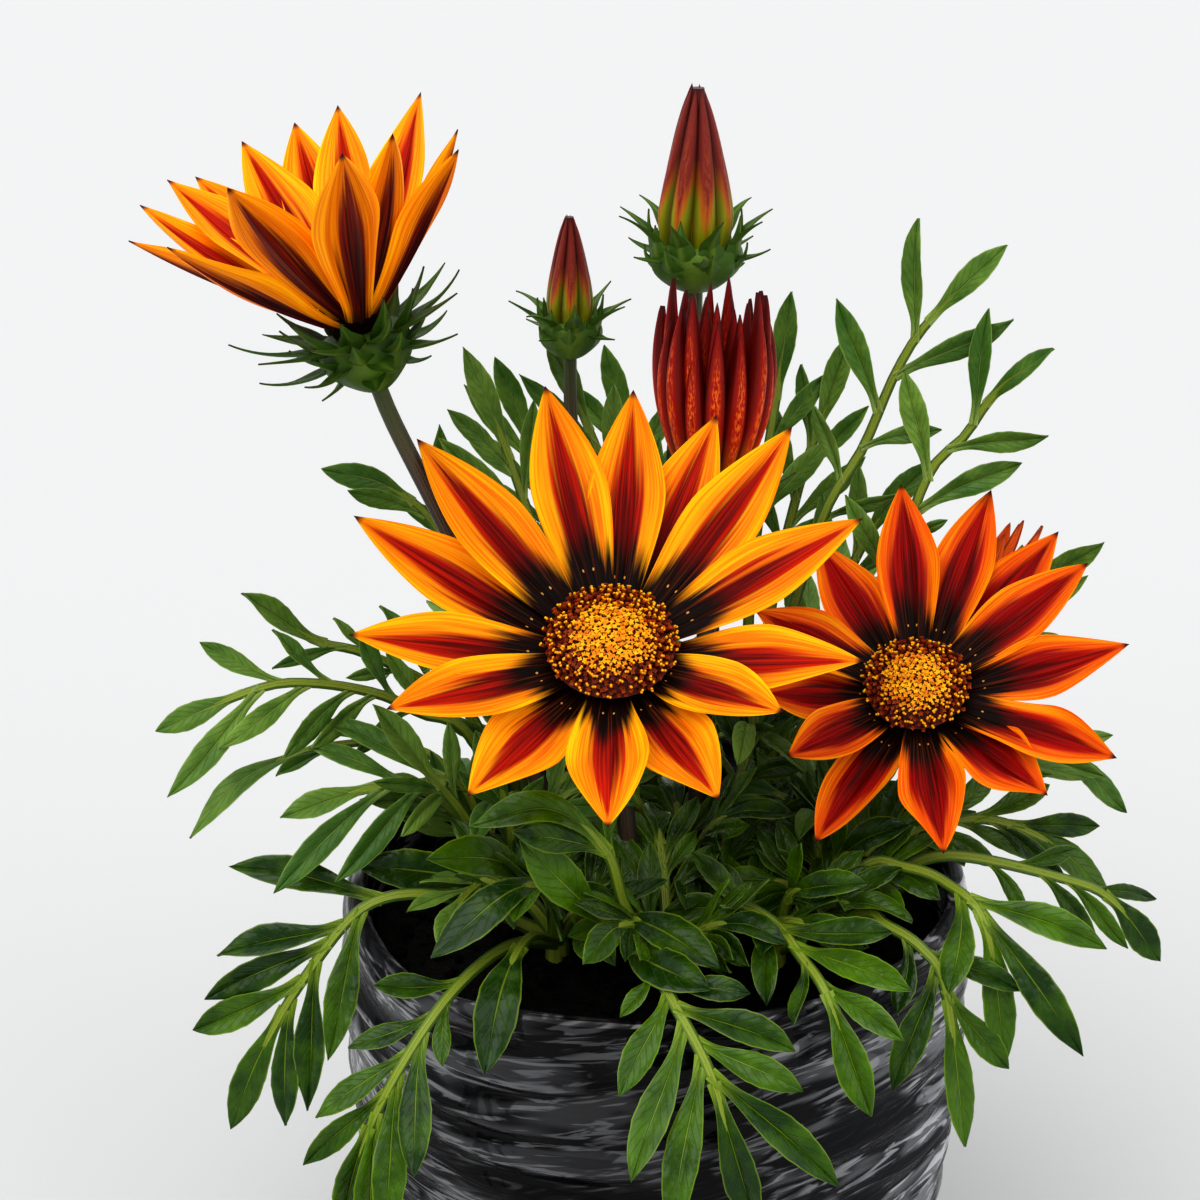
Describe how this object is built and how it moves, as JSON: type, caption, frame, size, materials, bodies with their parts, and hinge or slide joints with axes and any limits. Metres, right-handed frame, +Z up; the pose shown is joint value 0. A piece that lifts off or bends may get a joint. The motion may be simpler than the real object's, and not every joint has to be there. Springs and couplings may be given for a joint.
{
  "type": "potted gazania",
  "caption": "Flowering gazania plant with pinnate leaves, open blooms and buds, growing in a round glazed pot.",
  "frame": {"origin": "middle of the pot's foot, on the surface that it stands on", "axes": "+Z up along the pot's axis; -Y towards the side that the main bloom faces, +X to its right"},
  "size_m": [0.1925, 0.165, 0.2602],
  "materials": {
    "glaze": "gloss black glaze",
    "soil": "rough",
    "leaves": "satin",
    "bracts": "satin",
    "orange_rays": "satin",
    "red_orange_rays": "satin",
    "dark_red_rays": "satin",
    "bud_petals": "satin",
    "disc_florets": "matte"
  },
  "bodies": {
    "root": {"dark_head_involucre": "bracts", "dark_head_rays": "dark_red_rays", "half_open_bloom_disc": "disc_florets", "half_open_bloom_involucre": "bracts", "half_open_bloom_rays": "orange_rays", "main_bloom_disc": "disc_florets", "main_bloom_involucre": "bracts", "main_bloom_rays": "orange_rays", "pot": "glaze", "right_bloom_disc": "disc_florets", "right_bloom_involucre": "bracts", "right_bloom_rays": "red_orange_rays", "shoot_back": "leaves", "shoot_back_right": "leaves", "shoot_centre": "leaves", "shoot_front": "leaves", "shoot_left": "leaves", "shoot_left_back": "leaves", "shoot_left_front": "leaves", "shoot_right": "leaves", "shoot_right_front": "leaves", "shoot_right_side": "leaves", "small_bud_involucre": "bracts", "small_bud_petals": "bud_petals", "small_head_involucre": "bracts", "small_head_rays": "orange_rays", "soil": "soil", "tall_bud_involucre": "bracts", "tall_bud_petals": "bud_petals"}
  },
  "joints": []
}
